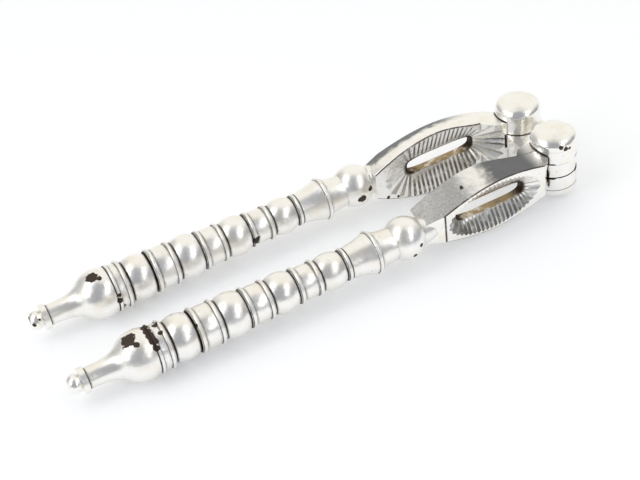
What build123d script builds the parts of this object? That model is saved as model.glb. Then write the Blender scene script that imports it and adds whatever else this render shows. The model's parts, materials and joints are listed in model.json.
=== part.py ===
from build123d import *
import os
from bisect import bisect
from math import copysign, cos, pi, sin

# Reversible lever nutcracker: two turned arms on a double hinge.
# Millimetres, +Z up, +X from the handle tips to the hinge, +Y to the left arm.
# The origin is the middle of the footprint, at the level of the lowest point.

# Hinge
pin_spacing = 18.2
pin_diameter = 5.0
lug_diameter = 13.4
lug_thickness = 4.4
link_width = 13.0
link_thickness = 4.4
link_play = 0.25
fork_root_gap = 0.45
pin_fit = 0.02
running_fit = 0.05
cap_diameter = 13.6
cap_height = 4.2
cap_rim = 0.7
cap_play = 0.12
cap_socket_depth = 2.8
cap_socket_relief = 0.3

# Jaw: lengths run from the pin axis to the handle, offsets run outward from the pin axis
jaw_length = 49.2
jaw_start = 5.0
jaw_drop = 0.35
inner_offset = 0.4
outer_offset_at_hinge = 7.5
outer_offset_at_facet = 9.2
outer_shoulder = 8.1
facet_length = 6.4
facet_depth = 1.5
cheek_inner = 3.2
cheek_outer = 4.6
cheek_end = 13.0
cheek_lap = 0.6
inner_crown = 10.6
inner_crown_place = 26.0
inner_end = 4.5
inner_end_slope = 0.55
outer_start = 4.2
outer_start_slope = 0.45
outer_crown = 8.0
outer_crown_place = 23.4
outer_end = 2.6
outer_end_slope = 0.35
edge_softness = 0.45
neck_diameter = 7.2
neck_length = 2.4

# Nut dishes and the slot between them
slot_length = 22.3
slot_height = 5.0
slot_place = 26.0
slot_squareness = 4.0
web_thickness = 2.2
web_offset = 3.2
inner_dish_length = 33.7
inner_dish_height = 19.0
inner_dish_place = 28.75
inner_dish_squareness = 2.2
outer_dish_length = 31.0
outer_dish_height = 14.0
outer_dish_place = 25.8
outer_dish_squareness = 1.9
dish_clearance = 1.0
flute_count = 46
flute_depth = 0.65
flute_even_at = 2.5

# Turned handle
handle_offset = 5.4
ball_diameter = 12.6
ball_seat = 5.0
ball_neck_diameter = 9.4
ball_neck_middle = 9.9
ball_neck_end = 11.2
ball_neck_length = 5.6
collar_diameter = 13.0
ring_width = 1.55
ring_foot = 0.25
ring_groove = 0.5
trumpet_length = 7.2
trumpet_middle = 10.2
trumpet_throat = 9.2
barrel_diameters = (10.7, 11.7, 12.9)
barrel_length = 7.9
barrel_ring_step = 0.85
barrel_shoulder = 2.5
waist_length = 4.1
waist_depth = 0.7
waist_swell = 0.35
palm_barrel_diameter = 13.3
palm_barrel_length = 7.8
palm_ring_diameter = 13.9
palm_ring_gap = 1.5
grip_diameter = 14.2
grip_edge_diameter = 13.3
grip_bulb_length = 8.8
grip_bulb_end = 9.8
grip_throat_diameter = 5.9
grip_throat_length = 9.8
tip_flange_diameter = 7.3
tip_flange_width = 1.6

# Joining pieces
stud_diameter = 3.2
stud_in_handle = 8.0
stud_in_jaw = 8.0
stud_fit = 0.03
stud_relief = 0.5
finial_diameter = 5.4
finial_end_diameter = 3.6
finial_shoulder = 0.7
finial_length = 3.4
spigot_diameter = 2.4
spigot_length = 6.0

# Fineness of the drawn ovals, and the smallest step that a turned outline keeps
oval_steps = 720
least_step = 0.001

# Worked-out sizes
pin_offset = pin_spacing / 2
slot_half = link_thickness / 2 + link_play
stack_half = slot_half + lug_thickness
cap_base = stack_half + cap_play
overall_half_height = cap_base + cap_height
fork_root = link_width / 2 + fork_root_gap
handle_line = pin_offset + handle_offset
inner_face = pin_offset + inner_offset
outer_face = pin_offset + outer_offset_at_facet
upright = (Align.CENTER, Align.CENTER, Align.MIN)


def jaw_side(across, crown_point, start, start_slope, end, end_slope):
    """Side outline of the jaw, in the upright plane at a distance from the middle."""
    top = [(-jaw_start, start), crown_point, (-jaw_length, end)]
    low = [(place, -height) for place, height in reversed(top)]
    with BuildSketch(Plane.XZ.offset(-across)) as outline:
        with BuildLine():
            Spline(*top, tangents=((-1, start_slope), (-1, -end_slope)))
            Line(top[-1], low[0])
            Spline(*low, tangents=((1, -end_slope), (1, start_slope)))
            Line(low[-1], top[0])
        make_face()
    return outline.sketch


def jaw_plan():
    """Plan outline of the jaw, with its slanted facet by the handle."""
    points = [
        (-jaw_start, inner_face),
        (-jaw_length, inner_face),
        (-jaw_length, outer_face - facet_depth),
        (-jaw_length + facet_length, outer_face),
        (-outer_shoulder, pin_offset + outer_offset_at_hinge),
        (-jaw_start, pin_offset + cheek_outer),
    ]
    return make_face(Polyline(*points, close=True))


def cheek_plan():
    """Plan outline of the swelling that leads from the lug to the jaw's inner face."""
    inner = pin_offset - cheek_inner
    lap = inner_face + cheek_lap
    lug_side = (-lug_diameter / 2, inner)
    with BuildSketch() as outline:
        with BuildLine():
            Line((0, inner), lug_side)
            TangentArc(lug_side, (-cheek_end, inner_face), tangent=(-1, 0))
            Polyline((-cheek_end, inner_face), (-cheek_end, lap), (0, lap), (0, inner))
        make_face()
    return outline.sketch


def slot_corners():
    """Corners of the slot, two for every flute, each with the direction in which it leaves the slot."""
    half_length = slot_length / 2
    half_height = slot_height / 2
    outline = []
    for index in range(oval_steps + 1):
        turn = 2 * pi * index / oval_steps
        along = copysign(abs(cos(turn)) ** (2 / slot_squareness), cos(turn))
        up = copysign(abs(sin(turn)) ** (2 / slot_squareness), sin(turn))
        lean = copysign(abs(along) ** (slot_squareness - 1) / half_length, along)
        rise = copysign(abs(up) ** (slot_squareness - 1) / half_height, up)
        corner = Vector(along * half_length - slot_place, up * half_height)
        outline.append((corner, Vector(lean, rise).normalized()))
    run = [0.0]
    for (before, before_way), (after, after_way) in zip(outline, outline[1:]):
        step = after + after_way * flute_even_at - before - before_way * flute_even_at
        run.append(run[-1] + step.length)
    corners = []
    for index in range(2 * flute_count):
        goal = run[-1] * index / (2 * flute_count)
        spot = bisect(run, goal) - 1
        share = (goal - run[spot]) / (run[spot + 1] - run[spot])
        (before, before_way), (after, after_way) = outline[spot], outline[spot + 1]
        way = before_way + (after_way - before_way) * share
        corners.append((before + (after - before) * share, way.normalized()))
    return corners


def rim_corner(corner, way, length, height, place, squareness):
    """Where a flute that leaves the slot at a corner meets the rim of its dish."""
    near, far = 0.0, length
    while far - near > least_step:
        middle = (near + far) / 2
        spot = corner + way * middle
        wide = abs(spot.X + place) * 2 / length
        tall = abs(spot.Y) * 2 / height
        if wide ** squareness + tall ** squareness < 1:
            near = middle
        else:
            far = middle
    return corner + way * near


def dish(slot, rim, face, slope, reach, web_place):
    """Fluted hollow from the slot in the web out through a jaw face that may slant."""
    outward = 1 if face > web_place else -1
    floor = []
    mouth = []
    for index, (corner, way) in enumerate(slot):
        swell = way * (flute_depth if index % 2 else 0.0)
        edge = rim_corner(corner, way, *rim) + swell
        low = Vector(corner.X, web_place, corner.Y)
        high = Vector(edge.X, face + slope * edge.X, edge.Y)
        rise = face + slope * low.X + outward * reach - low.Y
        share = rise / (high.Y - low.Y - slope * (high.X - low.X))
        floor.append(low)
        mouth.append(low + (high - low) * share)
    sections = [make_face(Polyline(*floor, close=True)), make_face(Polyline(*mouth, close=True))]
    if outward < 0:
        sections.reverse()
    return loft(sections, ruled=True)


def jaw_blank():
    """The lens-shaped jaw, its long edges softened, with the swelling by the lug."""
    inner_top = (-inner_crown_place, inner_crown)
    outer_top = (-outer_crown_place, outer_crown)
    inner_side = jaw_side(inner_face, inner_top, stack_half - jaw_drop, 0, inner_end, inner_end_slope)
    outer_side = jaw_side(outer_face, outer_top, outer_start, outer_start_slope, outer_end, outer_end_slope)
    lens = loft([inner_side, outer_side], ruled=True)
    blank = lens & extrude(jaw_plan(), amount=2 * inner_crown, both=True)
    long_edges = [edge for edge in blank.edges() if edge.length > jaw_length / 2]
    side_block = extrude(inner_side, amount=pin_spacing, both=True)
    cheek = side_block & extrude(cheek_plan(), amount=2 * inner_crown, both=True)
    return fillet(long_edges, edge_softness) + cheek


def make_jaw():
    """Jaw with its fork, fluted dishes, slot and stud hole."""
    neck_place = Plane((-jaw_length, handle_line, 0), z_dir=(1, 0, 0))
    pin_axis = Pos(0, pin_offset, 0)
    body = jaw_blank() + neck_place * Cylinder(neck_diameter / 2, neck_length, align=upright)
    body += pin_axis * Cylinder(lug_diameter / 2, 2 * stack_half)
    body -= pin_axis * Box(2 * fork_root, 2 * (pin_spacing + link_width), 2 * slot_half)
    body -= pin_axis * Cylinder(pin_diameter / 2 + running_fit, 2 * overall_half_height)
    web_inner = pin_offset + web_offset
    web_outer = web_inner + web_thickness
    outer_run = jaw_length - facet_length - outer_shoulder
    outer_slope = (outer_offset_at_hinge - outer_offset_at_facet) / outer_run
    outer_at_axis = pin_offset + outer_offset_at_hinge + outer_slope * outer_shoulder
    inner_reach = inner_offset + cheek_inner + dish_clearance
    inner_rim = (inner_dish_length, inner_dish_height, inner_dish_place, inner_dish_squareness)
    outer_rim = (outer_dish_length, outer_dish_height, outer_dish_place, outer_dish_squareness)
    slot = slot_corners()
    opening = [(corner.X, web_inner, corner.Y) for corner, way in slot]
    body -= dish(slot, inner_rim, inner_face, 0, inner_reach, web_inner)
    body -= dish(slot, outer_rim, outer_at_axis, outer_slope, dish_clearance, web_outer)
    body -= extrude(make_face(Polyline(*opening, close=True)), amount=outer_face - inner_face, both=True)
    body -= neck_place * Cylinder(stud_diameter / 2 + stud_fit, stud_in_jaw + stud_relief, align=upright)
    return body


class Turning:
    """Half outline of a turned piece, drawn along the X axis from its seat to its tip."""

    def __init__(self, start):
        self.start = start
        self.place, self.radius = start
        self.edges = []

    def add(self, edge, end):
        self.edges.append(edge)
        self.place, self.radius = end

    def line(self, length, diameter):
        end = (self.place - length, diameter / 2)
        self.add(Line((self.place, self.radius), end), end)

    def step(self, diameter):
        if abs(self.radius - diameter / 2) > least_step:
            self.line(0, diameter)

    def curve(self, length, middle, diameter):
        end = (self.place - length, diameter / 2)
        through = (self.place - length / 2, middle / 2)
        self.add(ThreePointArc((self.place, self.radius), through, end), end)

    def flow(self, length, diameter):
        """Curve that leaves the last edge smoothly and ends along the axis."""
        end = (self.place - length, diameter / 2)
        leaving = self.edges[-1] % 1
        self.add(Spline((self.place, self.radius), end, tangents=(leaving, (-1, 0))), end)

    def ring(self, diameter):
        """Rounded band between two sharp grooves."""
        foot = diameter - 2 * ring_groove
        self.step(foot)
        self.line(ring_foot, foot)
        self.curve(ring_width - 2 * ring_foot, diameter, foot)
        self.line(ring_foot, foot)

    def barrel(self, length, diameter):
        """Ball-like swelling between two rings."""
        edge = diameter - barrel_shoulder
        self.step(edge)
        self.curve(length, diameter, edge)

    def waist(self, ring):
        """Slightly swollen neck between two rings."""
        edge = ring - 2 * waist_depth
        self.step(edge)
        self.curve(waist_length, edge + waist_swell, edge)

    def solid(self):
        closing = Polyline((self.place, self.radius), (self.place, 0), (self.start[0], 0), self.start)
        return revolve(make_face(Curve() + self.edges + closing), Axis.X, 360)


def bar(start, diameter, length):
    """Round bar on the X axis, from its start towards +X."""
    return Plane.YZ.offset(start) * Cylinder(diameter / 2, length, align=upright)


def make_handle():
    """Turned handle on the X axis, and the place of its tip."""
    ball_radius = ball_diameter / 2
    seat_radius = (ball_radius ** 2 - ball_seat ** 2) ** 0.5
    ball_middle = -jaw_length - ball_seat
    ball_far = (ball_radius ** 2 - ball_neck_diameter ** 2 / 4) ** 0.5
    ball_end = (ball_middle - ball_far, ball_neck_diameter / 2)
    turning = Turning((-jaw_length, seat_radius))
    turning.add(ThreePointArc(turning.start, (ball_middle, ball_radius), ball_end), ball_end)
    turning.curve(ball_neck_length, ball_neck_middle, ball_neck_end)
    turning.ring(collar_diameter)
    turning.curve(trumpet_length, trumpet_middle, trumpet_throat)
    for index, barrel in enumerate(barrel_diameters):
        if index:
            turning.waist(barrel - barrel_ring_step)
        turning.ring(barrel - barrel_ring_step)
        turning.barrel(barrel_length, barrel)
        turning.ring(barrel)
    turning.waist(palm_barrel_diameter)
    turning.ring(palm_barrel_diameter)
    turning.barrel(palm_barrel_length, palm_barrel_diameter)
    turning.ring(palm_ring_diameter)
    turning.line(palm_ring_gap, palm_ring_diameter - 2 * ring_groove)
    turning.ring(palm_ring_diameter)
    turning.step(grip_edge_diameter)
    turning.curve(grip_bulb_length, grip_diameter, grip_bulb_end)
    turning.flow(grip_throat_length, grip_throat_diameter)
    turning.step(tip_flange_diameter)
    turning.line(tip_flange_width, tip_flange_diameter)
    tip = turning.place
    stud_hole = stud_in_handle + stud_relief
    body = turning.solid()
    body -= bar(-jaw_length - stud_hole, stud_diameter + 2 * stud_fit, stud_hole)
    body -= bar(tip, spigot_diameter + 2 * stud_fit, spigot_length + stud_relief)
    return body, tip


def make_finial(tip):
    """Button that closes the end of the handle, with its spigot."""
    turning = Turning((tip, finial_diameter / 2 - finial_shoulder))
    turning.curve(finial_length, finial_diameter, finial_end_diameter)
    return turning.solid() + bar(tip, spigot_diameter, spigot_length)


def make_link():
    """Flat link with round ends that joins the two forks."""
    outline = Rot(0, 0, 90) * SlotCenterToCenter(pin_spacing, link_width)
    link = extrude(outline, amount=link_thickness / 2, both=True)
    for across in (pin_offset, -pin_offset):
        link -= Pos(0, across, 0) * Cylinder(pin_diameter / 2 + pin_fit, 2 * link_thickness)
    return link


def make_cap():
    """Domed cap on the end of a pin, base at zero, dome upwards."""
    radius = cap_diameter / 2
    diagonal = 0.5 ** 0.5
    shoulder = (radius * diagonal, cap_rim + (cap_height - cap_rim) * diagonal)
    dome = Spline((radius, cap_rim), shoulder, (0, cap_height), tangents=((0, 1), (-1, 0)))
    sides = Polyline((0, cap_height), (0, 0), (radius, 0), (radius, cap_rim))
    body = revolve(Plane.XZ * make_face(Curve() + dome + sides), Axis.Z, 360)
    return body - Cylinder(pin_diameter / 2 + pin_fit, cap_socket_depth, align=upright)


def arm_pieces():
    """The pieces of the left arm, with the hinge's middle at the origin, and the arm's far end."""
    handle, tip = make_handle()
    stud = bar(-jaw_length - stud_in_handle, stud_diameter, stud_in_handle + stud_in_jaw)
    turned = {"handle": handle, "stud": stud, "finial": make_finial(tip)}
    arm = {"jaw": make_jaw()}
    for name, piece in turned.items():
        arm[name] = Pos(0, handle_line, 0) * piece
    return arm, tip - finial_length


def pin_pieces():
    """The left pin and its caps, with the hinge's middle at the origin."""
    pin_length = 2 * (cap_base + cap_socket_depth - cap_socket_relief)
    pin_axis = Pos(0, pin_offset, 0)
    cap = make_cap()
    return {
        "pin": pin_axis * Cylinder(pin_diameter / 2, pin_length),
        "top_cap": pin_axis * Pos(0, 0, cap_base) * cap,
        "bottom_cap": pin_axis * Pos(0, 0, -cap_base) * mirror(cap, about=Plane.XY),
    }


pieces, tip_end = arm_pieces()
pieces.update(pin_pieces())
hinge_end = max(lug_diameter, cap_diameter, link_width) / 2
hinge_place = (-tip_end - hinge_end) / 2
placing = Pos(hinge_place, 0, overall_half_height)

nodes = {"hinge_link": placing * make_link()}
for name, piece in pieces.items():
    nodes["left_" + name] = placing * piece
    nodes["right_" + name] = placing * mirror(piece, about=Plane.XZ)

os.makedirs("parts", exist_ok=True)
for name, piece in nodes.items():
    export_step(piece, f"parts/{name}.step")
print("overall length", hinge_end - tip_end, "height", 2 * overall_half_height)
print("pin axes at x", hinge_place, "y", pin_offset, "arm plane z", overall_half_height)
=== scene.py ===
# %% [markdown]
# A silver-plated lever nutcracker
#
# The tool is two turned levers on a double hinge. Its solids come from the imported frame, at their real size
# and place, so this lesson adds what solids cannot carry: worn plate, tarnish, some painted shade and
# reflection, and studio light.

# %% Load the frame
import json
import math

import bpy
from mathutils import Matrix, Vector


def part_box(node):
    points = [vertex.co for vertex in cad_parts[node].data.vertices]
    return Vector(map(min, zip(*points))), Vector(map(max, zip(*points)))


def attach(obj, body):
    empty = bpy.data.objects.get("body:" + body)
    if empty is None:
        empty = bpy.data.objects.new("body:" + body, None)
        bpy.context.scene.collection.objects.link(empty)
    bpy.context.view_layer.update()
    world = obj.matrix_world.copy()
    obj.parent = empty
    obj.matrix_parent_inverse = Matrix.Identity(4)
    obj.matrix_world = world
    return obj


MM_IN_METRE = 1000

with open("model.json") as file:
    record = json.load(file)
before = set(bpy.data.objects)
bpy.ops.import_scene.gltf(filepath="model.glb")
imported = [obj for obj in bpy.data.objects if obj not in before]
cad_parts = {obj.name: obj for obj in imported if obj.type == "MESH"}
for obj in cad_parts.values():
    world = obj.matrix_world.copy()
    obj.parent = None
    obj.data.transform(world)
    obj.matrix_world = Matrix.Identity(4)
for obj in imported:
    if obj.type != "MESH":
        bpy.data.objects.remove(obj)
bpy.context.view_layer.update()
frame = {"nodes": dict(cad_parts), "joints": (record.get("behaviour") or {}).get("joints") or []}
nodes = frame["nodes"]
hinges = {joint["child"]: Vector(joint["pos_m"]) for joint in frame["joints"]}

# %% [markdown]
# The photograph looks down on the tool from beside the near handle, with a long lens and the horizon a little
# tilted. A camera could be moved by hand until the picture looks right. Here the direction to stand in, the
# distance, the roll about the line of sight and the focal length were matched to the turned rings, and the
# camera is built from them, so it stands in the same place every time.

# %% Stand the camera where the photograph was taken
IMAGE_WIDTH = 640
SENSOR = 36.0
FOCAL_PIXELS = 1481
NEAREST_SEEN = 0.01
CAMERA_AZIMUTH = math.radians(-23.35)
CAMERA_ELEVATION = math.radians(40.23)
CAMERA_ROLL = math.radians(-7.92)
CAMERA_DISTANCE = 0.4167
AIM_BEHIND_HINGE = 0.0740
AIM_ACROSS = -0.0014

hinge_x = hinges["left_arm"].x
arm_plane = hinges["left_arm"].z
aim = Vector((hinge_x - AIM_BEHIND_HINGE, AIM_ACROSS, arm_plane))
towards_camera = Vector((
    math.sin(CAMERA_AZIMUTH) * math.cos(CAMERA_ELEVATION),
    -math.cos(CAMERA_AZIMUTH) * math.cos(CAMERA_ELEVATION),
    math.sin(CAMERA_ELEVATION),
))
level_right = Vector((0, 0, 1)).cross(towards_camera).normalized()
upward = towards_camera.cross(level_right)
camera_right = level_right * math.cos(CAMERA_ROLL) + upward * math.sin(CAMERA_ROLL)
camera_up = upward * math.cos(CAMERA_ROLL) - level_right * math.sin(CAMERA_ROLL)

lens = bpy.data.cameras.new("camera")
lens.sensor_width = SENSOR
lens.lens = FOCAL_PIXELS * SENSOR / IMAGE_WIDTH
lens.clip_start = NEAREST_SEEN
camera = bpy.data.objects.new("camera", lens)
turn = Matrix((camera_right, camera_up, towards_camera)).transposed().to_4x4()
camera.matrix_world = Matrix.Translation(aim + towards_camera * CAMERA_DISTANCE) @ turn
bpy.context.scene.collection.objects.link(camera)
bpy.context.scene.camera = camera
bpy.context.scene.view_settings.view_transform = "Standard"
print("lens", round(lens.lens, 1), "mm")

# %% [markdown]
# Every finish below is a small tree of shader nodes. Such a tree could be drawn in the node editor, but a
# script can be read and repeated. These helpers keep it readable: each places one kind of node, fills its
# sockets with numbers or with links, and hands back what comes out of it.


# %% Helpers that place nodes
def fill(tree, socket, value):
    """Link a socket into another, or write a plain value on it."""
    if isinstance(value, bpy.types.NodeSocket):
        tree.links.new(value, socket)
    else:
        socket.default_value = value


def place(tree, kind, inputs, **settings):
    """Add a shader node, set its options, and fill the inputs that are named or numbered."""
    made = tree.nodes.new("ShaderNode" + kind)
    for option, value in settings.items():
        setattr(made, option, value)
    for key, value in inputs.items():
        fill(tree, made.inputs[key], value)
    return made


def maths(tree, operation, first, second=0.0):
    """One sum, product or other step on two numbers."""
    return place(tree, "Math", {0: first, 1: second}, operation=operation).outputs[0]


def vectors(tree, operation, first, second, result):
    """One step on two vectors, with the name of the result: Vector or Value."""
    return place(tree, "VectorMath", {0: first, 1: second}, operation=operation).outputs[result]


def split(tree, vector):
    """The X, Y and Z of a vector."""
    return place(tree, "SeparateXYZ", {0: vector}).outputs


def noise(tree, vector, scale, detail):
    """Cloudy values between nothing and one."""
    return place(tree, "TexNoise", {"Vector": vector, "Scale": scale, "Detail": detail}).outputs[0]


print("node helpers ready")

# %% [markdown]
# A mask says how much of a finish a point gets, from nothing to one. Masks could be painted on images, but
# then every piece has to be unwrapped. Here they are worked out from the shape. A ramp gives a mask a soft
# border, a window has such a border at both ends, and masks are multiplied to keep only what they share.


# %% Helpers that shape masks
def product(tree, first, *others):
    """Multiply several numbers."""
    for other in others:
        first = maths(tree, "MULTIPLY", first, other)
    return first


def swing(tree, value, width):
    """Turn cloudy values into a swing about nothing, as wide as asked."""
    return product(tree, maths(tree, "SUBTRACT", value, 0.5), width)


def ramp(tree, value, low, high, start=0.0, end=1.0):
    """Move a value smoothly from start to end as it goes from low to high."""
    stops = {"Value": value, "From Min": low, "From Max": high, "To Min": start, "To Max": end}
    return place(tree, "MapRange", stops, interpolation_type="SMOOTHSTEP").outputs["Result"]


def window(tree, value, low, high, soft):
    """One between low and high, and nothing outside, with soft borders."""
    return product(tree, ramp(tree, value, low - soft, low), ramp(tree, value, high, high + soft, 1.0, 0.0))


def blend(tree, share, first, second):
    """Mix two colours by a share."""
    mix = place(tree, "Mix", {"Factor": share}, data_type="RGBA")
    fill(tree, mix.inputs[6], first)
    fill(tree, mix.inputs[7], second)
    return mix.outputs[2]


print("mask helpers ready")

# %% [markdown]
# Some effects are on many pieces. Their nodes could be copied into each material, but then every change has
# to be made many times. A node group is built once and placed in each material with its own values. Its
# sockets are declared first, by name and kind.


# %% Helpers that make groups
def new_group(name, inputs, outputs):
    """Start a node group. Each socket is a name with its kind, and an input also has a value."""
    group = bpy.data.node_groups.new(name, "ShaderNodeTree")
    for socket, (kind, value) in inputs.items():
        made = group.interface.new_socket(socket, in_out="INPUT", socket_type="NodeSocket" + kind)
        if value is not None:
            made.default_value = value
    for socket, kind in outputs.items():
        group.interface.new_socket(socket, in_out="OUTPUT", socket_type="NodeSocket" + kind)
    return group, group.nodes.new("NodeGroupInput").outputs, group.nodes.new("NodeGroupOutput").inputs


def use_group(tree, group, inputs):
    """Place a group in a tree, fill its inputs and hand back its outputs."""
    made = tree.nodes.new("ShaderNodeGroup")
    made.node_tree = group
    for key, value in inputs.items():
        fill(tree, made.inputs[key], value)
    return made.outputs


print("group helpers ready")

# %% [markdown]
# Old plate is never a perfect mirror. Years of rubbing leave it softly uneven, so reflections wobble, and its
# shine varies from place to place. Such shallow dents could be sculpted, but they are far smaller than the
# faces of the solids, so clouds of noise give them as a bump. The same clouds vary the shine and the warmth.

# %% Group: hand polish
CLOUD_SCALE = 260.0
GRAIN_SCALE = 2400.0
GRAIN_HEIGHT = 0.12
WARM_PATCHES = (0.42, 0.7)


def polish_group():
    """Uneven shine, small height and warm patches."""
    group, given, out = new_group(
        "hand_polish",
        {"Vector": ("Vector", None), "Shine": ("Float", 0.26), "Unevenness": ("Float", 0.2)},
        {"Roughness": "Float", "Height": "Float", "Warmth": "Float"},
    )
    cloud = noise(group, given["Vector"], CLOUD_SCALE, detail=3.0)
    grain = noise(group, given["Vector"], GRAIN_SCALE, detail=2.0)
    wander = swing(group, cloud, given["Unevenness"])
    fill(group, out["Roughness"], maths(group, "ADD", given["Shine"], wander))
    fill(group, out["Height"], maths(group, "ADD", cloud, product(group, grain, GRAIN_HEIGHT)))
    fill(group, out["Warmth"], ramp(group, cloud, *WARM_PATCHES))
    return group


hand_polish = polish_group()
print("group", hand_polish.name)

# %% [markdown]
# Polish never reaches the bottom of a groove, so silver stays dark there. That dark could be painted ring by
# ring. The Ambient Occlusion node measures how enclosed a point is by its own piece, so it finds every groove
# by itself, and noise breaks the lines up.

# %% Group: groove tarnish
BROKEN_SCALE = 700.0
BROKEN_WIDTH = 0.22


def tarnish_group():
    """Dark where a point is enclosed, in lines that noise breaks up."""
    group, given, out = new_group(
        "groove_tarnish",
        {
            "Vector": ("Vector", None),
            "Reach": ("Float", 0.0012),
            "Open": ("Float", 0.80),
            "Closed": ("Float", 0.45),
        },
        {"Mask": "Float"},
    )
    shelter = place(group, "AmbientOcclusion", {"Distance": given["Reach"]}, samples=8, only_local=True)
    uneven = swing(group, noise(group, given["Vector"], BROKEN_SCALE, detail=3.0), BROKEN_WIDTH)
    exposed = maths(group, "ADD", shelter.outputs["AO"], uneven)
    fill(group, out["Mask"], ramp(group, exposed, given["Open"], given["Closed"]))
    return group


groove_tarnish = tarnish_group()
print("group", groove_tarnish.name)

# %% [markdown]
# Metal under old plate shows as tiny dark pits, few on most pieces but crowded on the finials and on the dull
# end of the right jaw. There are far too many to model one by one. Voronoi cells give one pit each, and the
# cell's own random colour decides which are kept.

# %% Group: pits
PIT_SCALE = 2100.0
PIT_FLOOR = 0.6


def pit_group():
    """Small round pits with soft rims."""
    group, given, out = new_group(
        "pits",
        {"Vector": ("Vector", None), "Share": ("Float", 0.2), "Size": ("Float", 0.25)},
        {"Mask": "Float"},
    )
    cells = place(group, "TexVoronoi", {"Vector": given["Vector"], "Scale": PIT_SCALE})
    chance = place(group, "SeparateColor", {"Color": cells.outputs["Color"]}).outputs[0]
    kept = maths(group, "LESS_THAN", chance, given["Share"])
    hole = ramp(group, cells.outputs["Distance"], given["Size"], product(group, given["Size"], PIT_FLOOR))
    fill(group, out["Mask"], product(group, hole, kept))
    return group


pits = pit_group()
print("group", pits.name)

# %% [markdown]
# On the thickest parts of the grips and by the ball joints the plate has gone, and dark base metal shows.
# Such a patch could be painted on an unwrapped image. A ball of space with a ragged edge needs no unwrapping,
# and because it is fixed to the piece's own coordinates, it moves with the arm.

# %% Group: worn spot
RAGGED_SCALE = 900.0
SPOT_BORDER = (1.04, 0.96)


def worn_group():
    """One ragged spot about a centre."""
    group, given, out = new_group(
        "worn_spot",
        {
            "Vector": ("Vector", None),
            "Centre": ("Vector", None),
            "Radius": ("Float", 0.002),
            "Ragged": ("Float", 1.4),
        },
        {"Mask": "Float"},
    )
    away = vectors(group, "DISTANCE", given["Vector"], given["Centre"], "Value")
    share = maths(group, "DIVIDE", away, given["Radius"])
    shift = swing(group, noise(group, given["Vector"], RAGGED_SCALE, detail=4.0), given["Ragged"])
    fill(group, out["Mask"], ramp(group, maths(group, "ADD", share, shift), *SPOT_BORDER))
    return group


worn_spot = worn_group()
print("group", worn_spot.name)

# %% [markdown]
# All pieces look like one metal and differ in shine, tarnish and wear. Each could have a tree of its own, but
# one recipe keeps them alike. Colour, shine and bump are built up in the order in which they happened:
# polished plate, tarnish in the seams, stains, then wear, with painted shade laid in with the stains.

# %% The recipe for silver
BRIGHT_PLATE = (0.95, 0.94, 0.915, 1)
WARM_PLATE = (0.93, 0.895, 0.82, 1)
# This dark is tarnish in the seams, and on the jaws' edge line it is also a painted reflection.
TARNISH_AND_DARK_REFLECTION = (0.085, 0.066, 0.052, 1)
BASE_METAL = (0.085, 0.065, 0.055, 1)
PIT_DARKNESS = 0.75
DULLNESS = 0.3
BUMP_DEPTH = 0.00028
BUMP_STRENGTH = 0.75


def silver(name, seams, spots=(), shine=0.25, pitted=0.04, stains_and_shade=None):
    """Plated metal with tarnished seams, pits, stains, painted shade and worn spots, listed as (centre,
    radius) in mm.
    """
    material = bpy.data.materials.new(name)
    material.use_nodes = True
    tree = material.node_tree
    surface = tree.nodes["Principled BSDF"]
    where = place(tree, "TexCoord", {}).outputs
    polish = use_group(tree, hand_polish, {"Vector": where["Object"], "Shine": shine})
    seam = use_group(tree, groove_tarnish, {"Vector": where["Object"], **seams})["Mask"]
    pit = use_group(tree, pits, {"Vector": where["Object"], "Share": pitted})["Mask"]
    dark = maths(tree, "MAXIMUM", seam, product(tree, pit, PIT_DARKNESS))
    plate = blend(tree, polish["Warmth"], BRIGHT_PLATE, WARM_PLATE)
    colour = blend(tree, dark, plate, TARNISH_AND_DARK_REFLECTION)
    if stains_and_shade:
        # On the jaws these marks include painted shade and painted reflections as well as stains.
        for mask, mark_colour in stains_and_shade(tree, where):
            colour = blend(tree, mask, colour, mark_colour)
            dark = maths(tree, "MAXIMUM", dark, mask)
    worn = pit
    for centre, radius in spots:
        mark = {"Centre": Vector(centre) / MM_IN_METRE, "Radius": radius / MM_IN_METRE}
        spot = use_group(tree, worn_spot, {"Vector": where["Object"], **mark})["Mask"]
        worn = maths(tree, "MAXIMUM", spot, worn)
        colour = blend(tree, spot, colour, BASE_METAL)
    dull = product(tree, maths(tree, "MAXIMUM", dark, worn), DULLNESS)
    height = maths(tree, "SUBTRACT", polish["Height"], worn)
    bump = place(tree, "Bump", {"Height": height, "Distance": BUMP_DEPTH, "Strength": BUMP_STRENGTH})
    fill(tree, surface.inputs["Base Color"], colour)
    fill(tree, surface.inputs["Roughness"], maths(tree, "ADD", polish["Roughness"], dull))
    fill(tree, surface.inputs["Normal"], bump.outputs["Normal"])
    surface.inputs["Metallic"].default_value = 1.0
    return material


print("recipe ready")

# %% [markdown]
# The worn marks could be scattered by chance, but wear belongs to this one tool and follows no rule, so they
# are placed one by one: on the swell of each grip and its rings, under one ring of the left handle, where the
# balls meet the jaws, on the right jaw and its cap, and on the left finial. Each is a centre and a radius in
# millimetres.

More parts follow.
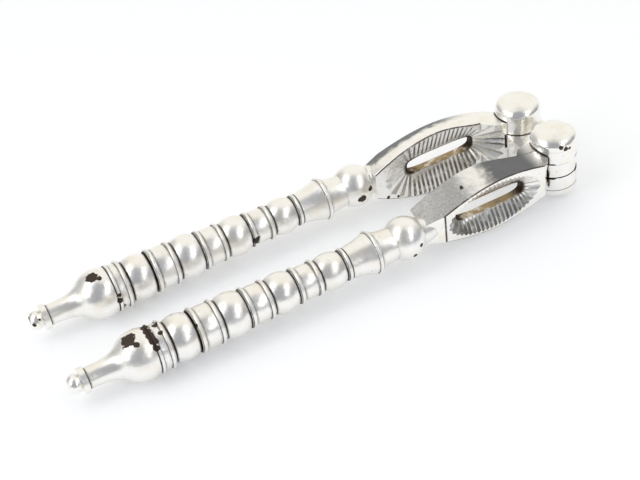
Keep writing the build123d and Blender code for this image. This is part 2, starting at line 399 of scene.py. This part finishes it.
# %% Worn marks on each arm
RIGHT_HANDLE_MARKS = (
    ((-62.9, -14.6, 18.0), 2.2),
    ((-61.7, -17.2, 17.7), 0.9),
    ((-57.4, -11.0, 16.9), 1.1),
    ((-57.4, -12.6, 17.7), 1.2),
    ((-57.4, -14.4, 18.0), 1.1),
    ((-57.3, -16.2, 17.8), 1.2),
    ((-57.2, -17.9, 17.1), 1.3),
    ((-57.2, -19.4, 15.8), 1.0),
    ((-54.6, -13.0, 17.6), 0.9),
    ((-54.6, -16.5, 17.6), 0.8),
    ((-45.1, -18.1, 16.2), 0.5),
    ((22.3, -20.4, 11.6), 0.6),
    ((20.1, -20.4, 8.9), 0.6),
)
LEFT_HANDLE_MARKS = (
    ((-61.8, 13.8, 18.2), 1.7),
    ((-60.2, 12.4, 18.0), 0.8),
    ((-57.1, 7.6, 11.8), 0.9),
    ((-56.7, 7.9, 13.4), 0.6),
    ((-56.1, 8.6, 8.7), 0.6),
    ((-14.2, 9.1, 10.9), 1.2),
    ((19.7, 8.3, 10.2), 1.3),
    ((22.9, 9.0, 12.3), 0.8),
)
RIGHT_JAW_MARKS = (((40.0, -13.8, 19.0), 0.9),)
RIGHT_CAP_MARKS = (
    ((72.6, -15.4, 19.6), 0.7),
    ((74.0, -15.9, 18.8), 0.7),
    ((75.3, -15.8, 18.6), 0.5),
)
LEFT_FINIAL_MARKS = (
    ((-81.2, 14.4, 12.2), 0.9),
    ((-80.7, 12.2, 11.7), 0.7),
    ((-79.0, 12.6, 12.6), 0.5),
)
LEFT_JAW_MARKS = (
    ((28.8, 9.5, 5.8), 0.6),
    ((32.1, 9.5, 4.6), 0.5),
)
print("marks on the handles", len(RIGHT_HANDLE_MARKS), "and", len(LEFT_HANDLE_MARKS))

# %% [markdown]
# The jaws are stained where nuts and fingers touch them, and some of their dark is painted shade and
# reflection. The stains and the painted shade follow the jaw's own shape, so each is masked by where a point
# lies and which way it faces. A point lies some way along the jaw from the hinge, and at some level above or
# below the plane of the arms. The border of a mask is kept as a pair, from and to. Where four numbers stand,
# the last two are the shares at its ends.

# %% Places on a jaw
SLOT_PLACE = 0.026
PATCH_SCALE = 520.0


def measures(tree, where):
    """Where a point of a jaw lies, which way it faces, how far along it is and at what level."""
    point, facing = split(tree, where["Object"]), split(tree, where["Normal"])
    along = maths(tree, "SUBTRACT", hinge_x, point["X"])
    return point, facing, along, maths(tree, "SUBTRACT", point["Z"], arm_plane)


def from_slot_middle(tree, along):
    """How far a point is from the middle of the slot, along the jaw."""
    return maths(tree, "ABSOLUTE", maths(tree, "SUBTRACT", along, SLOT_PLACE))


def patches(tree, where, detail):
    """Uneven patches that break up the stains and the painted shade."""
    return noise(tree, where["Object"], PATCH_SCALE, detail)


print("places ready")

# %% [markdown]
# The walls of the slots are golden brown, and their ends are painted black as painted shadow, where the end
# walls lie in shade. The walls could get materials of their own, but those would end in hard lines. Windows
# across the web and over the slot's height pick the walls out with soft borders.

# %% Masks in the slot
WEB_FROM, WEB_TO, WEB_SOFT = 0.0122, 0.0146, 0.0005
SLOT_HALF, SLOT_SOFT = 0.0027, 0.0003
UNEVEN_FILM = (0.33, 0.55, 0.4, 1.0)
SHADOWED_ENDS = (0.0085, 0.0125)
SHADOW_RAGGED = 0.004


def slot_masks(tree, where):
    """A golden film on the walls of the slot and painted black shadow at its ends."""
    point, _, along, level = measures(tree, where)
    patchy = patches(tree, where, detail=3.0)
    in_web = window(tree, maths(tree, "ABSOLUTE", point["Y"]), WEB_FROM, WEB_TO, WEB_SOFT)
    in_slot = ramp(tree, maths(tree, "ABSOLUTE", level), SLOT_HALF, SLOT_HALF + SLOT_SOFT, 1.0, 0.0)
    slot = product(tree, in_web, in_slot)
    film = product(tree, slot, ramp(tree, patchy, *UNEVEN_FILM))
    # Painted shadow: the slot's ends darken to black, where the end walls lie in shade.
    corner = maths(tree, "ADD", from_slot_middle(tree, along), product(tree, patchy, SHADOW_RAGGED))
    return film, product(tree, slot, ramp(tree, corner, *SHADOWED_ENDS))


print("slot masks ready")

# %% [markdown]
# In the flutes, one side of each groove is painted dark, a painted reflection of the dark that walls facing
# that way mirror, and the other side stays bright. The sides could be picked face by face, but there are
# many.
# Which side a point is on shows in how its normal turns against the direction outwards from the slot. The
# dark fades towards the jaw's ends.

# %% Mask of the flutes' painted dark reflection
SLOT_CORE = 0.0096
DISH_FROM, DISH_TO, DISH_SOFT = 0.0095, 0.0468, 0.0003
FACES_ACROSS = (0.05, 0.15)
LEANS_IN = (-0.1, -0.3)
DARK_SIDE = (0.0, 0.06)
UNEVEN_FLUTES = (0.3, 0.55, 0.45, 0.9)
FLUTES_FADE = (0.0095, 0.0150, 1.0, 0.3)


def outwards_from_slot(tree, along, level):
    """The direction straight away from the slot's core."""
    from_slot = maths(tree, "SUBTRACT", SLOT_PLACE, along)
    core = place(tree, "Clamp", {"Value": from_slot, "Min": -SLOT_CORE, "Max": SLOT_CORE}).outputs[0]
    away = place(tree, "CombineXYZ", {"X": maths(tree, "SUBTRACT", from_slot, core), "Z": level}).outputs[0]
    return place(tree, "VectorMath", {0: away}, operation="NORMALIZE").outputs[0]


def flute_reflection_mask(tree, where):
    """The flute sides that face one way round the slot, painted dark as a reflection."""
    _, facing, along, level = measures(tree, where)
    outwards = outwards_from_slot(tree, along, level)
    lean = vectors(tree, "DOT_PRODUCT", outwards, where["Normal"], "Value")
    round_slot = split(tree, vectors(tree, "CROSS_PRODUCT", outwards, where["Normal"], "Vector"))
    in_dish = product(
        tree,
        ramp(tree, maths(tree, "ABSOLUTE", facing["Y"]), *FACES_ACROSS),
        ramp(tree, lean, *LEANS_IN),
        window(tree, along, DISH_FROM, DISH_TO, DISH_SOFT),
    )
    # Painted reflection: one side of each flute is darkened to stand in for the dark that it mirrors.
    dark_side = ramp(tree, round_slot["Y"], *DARK_SIDE)
    uneven = ramp(tree, patches(tree, where, detail=3.0), *UNEVEN_FLUTES)
    fade = ramp(tree, from_slot_middle(tree, along), *FLUTES_FADE)
    return product(tree, in_dish, dark_side, uneven, fade)


print("flute mask ready")

# %% [markdown]
# A dark line runs along the rounded edges and where the small facet by the handle begins: partly tarnish,
# partly a painted reflection of the dark that the edges' rounding mirrors. It could be a thin mesh, but a
# line this fine is only a change of colour. The edges are found by how far they turn outwards. They also lean
# away from the slot, which tells them from flutes that face the same way.

# %% Mask of the dark edges: tarnish and painted reflection
FACET_PLACE = 0.0428
CREASE = (0.0004, 0.0002)
ROUND_FROM, ROUND_TO, ROUND_SOFT = 0.50, 0.95, 0.06
OFF_PLANE = (0.18, 0.3)
LEANS_OUT = (0.05, 0.15)
FACES_OUT = (0.8, 0.9)
UNEVEN_LINE = (0.3, 0.45, 0.5, 0.95)


def edge_reflection_and_tarnish_mask(tree, where):
    """A thin line of tarnish and painted dark reflection on rounded edges and at the facet's border."""
    point, facing, along, level = measures(tree, where)
    outward = product(tree, facing["Y"], maths(tree, "SIGN", point["Y"]))
    from_plane = product(tree, facing["Z"], maths(tree, "SIGN", level))
    lean = vectors(tree, "DOT_PRODUCT", outwards_from_slot(tree, along, level), where["Normal"], "Value")
    # Partly painted reflection: the dark on rounded edges stands in for the dark they mirror, and partly
    # tarnish.
    edge = product(
        tree,
        window(tree, maths(tree, "ABSOLUTE", outward), ROUND_FROM, ROUND_TO, ROUND_SOFT),
        ramp(tree, from_plane, *OFF_PLANE),
        ramp(tree, lean, *LEANS_OUT),
    )
    from_facet = maths(tree, "ABSOLUTE", maths(tree, "SUBTRACT", along, FACET_PLACE))
    crease = product(tree, ramp(tree, from_facet, *CREASE), ramp(tree, outward, *FACES_OUT))
    uneven = ramp(tree, patches(tree, where, detail=3.0), *UNEVEN_LINE)
    return product(tree, maths(tree, "MAXIMUM", edge, crease), uneven)


print("edge mask ready")

# %% [markdown]
# Both jaws have these stains and painted shade, so their masks become one group. Each material could build
# them again, but a group keeps the two jaws alike. It takes the point and its normal from the material that
# uses it. The stains and painted shade are laid in the order of the list, so the dark lines come last.

# %% Group: jaw stains and painted shade
# The flutes' dark colour below is a painted reflection, and the slot's brown film is its own stain.
FLUTE_PAINTED_REFLECTION = (0.135, 0.125, 0.10, 1)
STAIN = (0.42, 0.32, 0.18, 1)
# Painted shadow: this black darkens the slot's ends, where the end walls lie in shade.
SLOT_END_SHADOW = (0.045, 0.032, 0.024, 1)


def jaw_stain_and_shade_group():
    """Masks of the stains and painted shade that both jaws have."""
    group, given, out = new_group(
        "jaw_stains_and_shade",
        {"Object": ("Vector", None), "Normal": ("Vector", None)},
        {"Flute_reflection": "Float", "Film": "Float", "End_shadow": "Float", "Line": "Float"},
    )
    film, end_shadow = slot_masks(group, given)
    fill(group, out["Flute_reflection"], flute_reflection_mask(group, given))
    fill(group, out["Film"], film)
    fill(group, out["End_shadow"], end_shadow)
    fill(group, out["Line"], edge_reflection_and_tarnish_mask(group, given))
    return group


def shared_stains_and_shade(tree, where):
    """Masks and colours of the stains and painted shade that both jaws have."""
    masks = use_group(tree, jaw_stains_and_shade, {"Object": where["Object"], "Normal": where["Normal"]})
    colours = {"Flute_reflection": FLUTE_PAINTED_REFLECTION, "Film": STAIN, "End_shadow": SLOT_END_SHADOW, "Line": TARNISH_AND_DARK_REFLECTION}
    return [(masks[name], colour) for name, colour in colours.items()]


jaw_stains_and_shade = jaw_stain_and_shade_group()
print("group", jaw_stains_and_shade.name)

# %% [markdown]
# Each jaw also has patches of its own. The left jaw has a grey band along the outer half of its top, a
# painted reflection. The right jaw's top is grey by the hinge, and dull and grainy by the handle. Worn spots
# could be strung together for them, but these patches follow the jaw's length and width, so ramps with ragged
# borders describe them better.

# %% Stains and painted reflection of the left and the right jaw
# This grey is the pits' own dark and also the colour of the painted reflection band on the left jaw.
GREY_WEAR_AND_REFLECTION = (0.145, 0.152, 0.162, 1)
DULL_PLATE = (0.43, 0.427, 0.418, 1)
BAND_SCALE, BAND_RAGGED = 380.0, 0.005
BAND_ACROSS = (0.0135, 0.0160)
BAND_FACES_UP = (0.4, 0.6)
BAND_ALONG = (0.012, 0.026, 0.0, 0.9)
TOP_RAGGED = 0.006
TOP_FACES_UP = (0.5, 0.75)
GREY_ALONG = (0.0325, 0.0270)
BRIGHT_BY_CAP = (0.006, 0.013, 0.12, 0.95)
DULL_ALONG = (0.0345, 0.0395)
SPECKLE_SCALE = 1700.0
SPECKLE = (0.35, 0.65, 0.80, 1.0)
CROWDED_PITS = {"Share": 0.28, "Size": 0.26}


def left_jaw_stains_and_shade(tree, where):
    """The grey band, a painted reflection, then what both jaws have."""
    point, facing, along, _ = measures(tree, where)
    shift = swing(tree, noise(tree, where["Object"], BAND_SCALE, detail=4.0), BAND_RAGGED)
    # Painted reflection: a grey band on the outer half of the top, standing in for the dark that the top
    # mirrors there.
    grey_reflection_band = product(
        tree,
        ramp(tree, maths(tree, "ADD", point["Y"], shift), *BAND_ACROSS),
        ramp(tree, facing["Z"], *BAND_FACES_UP),
        ramp(tree, along, *BAND_ALONG),
    )
    return [(grey_reflection_band, GREY_WEAR_AND_REFLECTION), *shared_stains_and_shade(tree, where)]


def right_jaw_stains_and_shade(tree, where):
    """The grey patch and the dull, pitted one, then what both jaws have."""
    _, facing, along, _ = measures(tree, where)
    ragged = maths(tree, "ADD", along, product(tree, patches(tree, where, detail=4.0), TOP_RAGGED))
    on_top = ramp(tree, facing["Z"], *TOP_FACES_UP)
    by_cap = ramp(tree, along, *BRIGHT_BY_CAP)
    grey = product(tree, ramp(tree, ragged, *GREY_ALONG), by_cap, on_top)
    speckle = ramp(tree, noise(tree, where["Object"], SPECKLE_SCALE, detail=2.0), *SPECKLE)
    dull = product(tree, ramp(tree, ragged, *DULL_ALONG), speckle, on_top)
    grain = use_group(tree, pits, {"Vector": where["Object"], **CROWDED_PITS})["Mask"]
    pitted = product(tree, dull, grain)
    return [(grey, GREY_WEAR_AND_REFLECTION), (dull, DULL_PLATE), (pitted, GREY_WEAR_AND_REFLECTION), *shared_stains_and_shade(tree, where)]


print("jaw stains ready")

# %% [markdown]
# Each solid gets one finish. All fifteen could have their own, but only pieces with marks or stains of their
# own need that, and the others share one by kind. The handles are held most, so their shine is the softest of
# the plated pieces.

# %% Dress the solids
JAW_SEAMS = {"Reach": 0.0010, "Open": 0.92, "Closed": 0.62}
HANDLE_SEAMS = {"Reach": 0.0010, "Open": 0.94, "Closed": 0.68}
SMALL_SEAMS = {"Reach": 0.0008}
JAW_SHINE, HANDLE_SHINE, HINGE_SHINE, STEEL_SHINE = 0.23, 0.31, 0.21, 0.34
FINIAL_PITS = 0.2

finishes = {
    "left_jaw": silver("left_jaw_plate", JAW_SEAMS, LEFT_JAW_MARKS, JAW_SHINE, stains_and_shade=left_jaw_stains_and_shade),
    "right_jaw": silver("right_jaw_plate", JAW_SEAMS, RIGHT_JAW_MARKS, JAW_SHINE, stains_and_shade=right_jaw_stains_and_shade),
    "left_handle": silver("left_handle_plate", HANDLE_SEAMS, LEFT_HANDLE_MARKS, HANDLE_SHINE),
    "right_handle": silver("right_handle_plate", HANDLE_SEAMS, RIGHT_HANDLE_MARKS, HANDLE_SHINE),
    "right_top_cap": silver("right_cap_plate", SMALL_SEAMS, RIGHT_CAP_MARKS, HINGE_SHINE),
    "left_finial": silver("left_finial_plate", SMALL_SEAMS, LEFT_FINIAL_MARKS, pitted=FINIAL_PITS),
    "hinge": silver("hinge_plate", SMALL_SEAMS, shine=HINGE_SHINE),
    "finial": silver("finial_plate", SMALL_SEAMS, pitted=FINIAL_PITS),
    "steel": silver("plain_steel", SMALL_SEAMS, shine=STEEL_SHINE),
}
for name, piece in nodes.items():
    kind = name.split("_", 1)[1]
    finish = "steel" if kind in ("stud", "pin") else "finial" if kind == "finial" else "hinge"
    piece.data.materials.clear()
    piece.data.materials.append(finishes.get(name, finishes[finish]))
print("dressed", len(nodes), "pieces")

# %% [markdown]
# On the real tool each ball runs into its jaw without a step. The solids meet there on a plain round neck. A
# bevel would change the solids, which stay as they are, so a turned skin covers the neck: a row of rings,
# each a place along the handle's axis and a radius in millimetres, smoothed by a subdivision surface.

# %% Turn a fillet over each neck
JAW_LENGTH = 0.0492
FILLET = (
    (-2.0, 5.2), (-1.2, 4.7), (-0.4, 4.35), (0.6, 4.05),
    (1.8, 3.85), (3.2, 3.55), (4.8, 3.1), (6.5, 2.4),
)
AROUND = 32


def fillet_mesh(side):
    """Rings of points around the handle's axis, joined into one closed skin."""
    low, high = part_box(side + "_handle")
    axis_y = (low.y + high.y) / 2
    start = hinges[side + "_arm"].x - JAW_LENGTH
    points = []
    for along, radius in FILLET:
        for step in range(AROUND):
            angle = 2 * math.pi * step / AROUND
            across = axis_y + radius / MM_IN_METRE * math.cos(angle)
            height = arm_plane + radius / MM_IN_METRE * math.sin(angle)
            points.append((start + along / MM_IN_METRE, across, height))
    faces = [list(range(AROUND))[::-1], list(range(len(points) - AROUND, len(points)))]
    for ring in range(len(FILLET) - 1):
        for step in range(AROUND):
            here, after = ring * AROUND + step, ring * AROUND + (step + 1) % AROUND
            faces.append((here, after, after + AROUND, here + AROUND))
    skin = bpy.data.meshes.new(side + "_neck_fillet")
    skin.from_pydata(points, [], faces)
    skin.shade_smooth()
    return skin


for side in ("left", "right"):
    skin = fillet_mesh(side)
    skin.materials.append(finishes[side + "_handle"])
    piece = bpy.data.objects.new(side + "_neck_fillet", skin)
    bpy.context.scene.collection.objects.link(piece)
    smooth = piece.modifiers.new("smooth", "SUBSURF")
    smooth.levels = 1
    smooth.render_levels = 1
    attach(piece, side + "_arm")
print("fillets turned")

# %% [markdown]
# The tool lies on the domes under its hinge and on its thick grips, so it leans by just under two degrees.
# The tool could be tilted, but the solids stay where the frame put them, so the floor is tilted instead.

# %% A floor under the domes and the grips
FLOOR_HALF = 2.0
GRIP_FROM_TIP = 0.0165

grip_low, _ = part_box("right_handle")
fall = grip_low.z / (hinge_x - (grip_low.x + GRIP_FROM_TIP))
corners = []
for along, across in ((-1, -1), (1, -1), (1, 1), (-1, 1)):
    x = along * FLOOR_HALF
    corners.append((x, across * FLOOR_HALF, (hinge_x - x) * fall))
sheet = bpy.data.meshes.new("floor")
sheet.from_pydata(corners, [], [(0, 1, 2, 3)])
floor = bpy.data.objects.new("floor", sheet)
bpy.context.scene.collection.objects.link(floor)
print("floor falls", round(math.degrees(math.atan(fall)), 2), "degrees")

# %% [markdown]
# The ground in the photograph is plain white and a little overexposed. Stronger lamps would burn out the
# silver too, so the paper glows faintly where it is seen, directly or in a reflection, and its glow lights
# nothing else.

# %% White paper
PAPER_COLOUR = (0.90, 0.915, 0.94, 1)
PAPER_ROUGHNESS = 0.9
GLOW_COLOUR = (1, 1, 1, 1)
GLOW = 0.20

paper = bpy.data.materials.new("white_paper")
paper.use_nodes = True
tree = paper.node_tree
surface = tree.nodes["Principled BSDF"]
surface.inputs["Base Color"].default_value = PAPER_COLOUR
surface.inputs["Roughness"].default_value = PAPER_ROUGHNESS
surface.inputs["Emission Color"].default_value = GLOW_COLOUR
rays = place(tree, "LightPath", {}).outputs
seen = maths(tree, "MAXIMUM", rays["Is Camera Ray"], rays["Is Glossy Ray"])
seen = maths(tree, "MAXIMUM", seen, rays["Is Transmission Ray"])
fill(tree, surface.inputs["Emission Strength"], product(tree, seen, GLOW))
sheet.materials.append(paper)
print("paper laid")

# %% [markdown]
# A mirror is lit by what stands around it. The photograph seems to be taken in a bright tent: cream overhead
# and behind the tool, and grey on the camera's side and in one far corner. A picture of a studio could stand
# in for it. Here the tones were read off the turned bulbs, which mirror nearly every direction, and the room
# is painted with them.

# %% A bright tent with a grey side
TENT_WHITE = (0.97, 0.95, 0.89, 1)
TENT_GREY = (0.36, 0.37, 0.395, 1)
CAMERA_SIDE = Vector((0.26, -0.966, 0))
BACK_CORNER = Vector((-0.554, 0.79, 0.26))
GREY_SIDE = (-0.05, 0.45)
GREY_BELOW_ROOF = (0.78, 0.40)
GREY_BY_CAMERA = (0.40, 0.80)
GREY_CORNER = (0.80, 0.97, 0.0, 0.75)

world = bpy.data.worlds.new("studio")
world.use_nodes = True
tree = world.node_tree
way = place(tree, "TexCoord", {}).outputs["Generated"]


def towards(direction):
    """How nearly a direction in the room points a given way."""
    return vectors(tree, "DOT_PRODUCT", way, direction, "Value")


below_roof = ramp(tree, split(tree, way)["Z"], *GREY_BELOW_ROOF)
grey_side = product(tree, ramp(tree, towards(CAMERA_SIDE), *GREY_SIDE), below_roof)
by_camera = ramp(tree, towards(towards_camera), *GREY_BY_CAMERA)
grey_corner = ramp(tree, towards(BACK_CORNER), *GREY_CORNER)
grey = maths(tree, "MAXIMUM", maths(tree, "MAXIMUM", grey_side, by_camera), grey_corner)
fill(tree, tree.nodes["Background"].inputs["Color"], blend(tree, grey, TENT_WHITE, TENT_GREY))
bpy.context.scene.world = world
print("room set")

# %% [markdown]
# The turned bulbs show upright bright streaks, which look like tall soft lamps. They could be painted on the
# tent, but lamps also throw the tool's soft shadow. Two of them stand left and right of the camera and face
# the middle of the tool.

# %% Two tall soft lamps beside the camera
LAMP_DISTANCE = 0.7
LAMP_HEIGHT = 0.8


def softbox(name, right, up, forward, width, power):
    """An oblong lamp in a direction given from the tool: to the camera's right, upwards and to the camera."""
    lamp = bpy.data.lights.new(name, "AREA")
    lamp.shape = "RECTANGLE"
    lamp.size = width
    lamp.size_y = LAMP_HEIGHT
    lamp.energy = power
    made = bpy.data.objects.new(name, lamp)
    offset = (camera_right * right + camera_up * up + towards_camera * forward) * LAMP_DISTANCE
    facing = offset.normalized()
    sideways = camera_up.cross(facing).normalized()
    upright = Matrix((sideways, facing.cross(sideways), facing)).transposed().to_4x4()
    made.matrix_world = Matrix.Translation(aim + offset) @ upright
    bpy.context.scene.collection.objects.link(made)


softbox("left_lamp", right=-0.66, up=0.28, forward=0.70, width=0.28, power=1.3)
softbox("right_lamp", right=0.56, up=0.30, forward=0.77, width=0.22, power=0.9)
print("lights set")
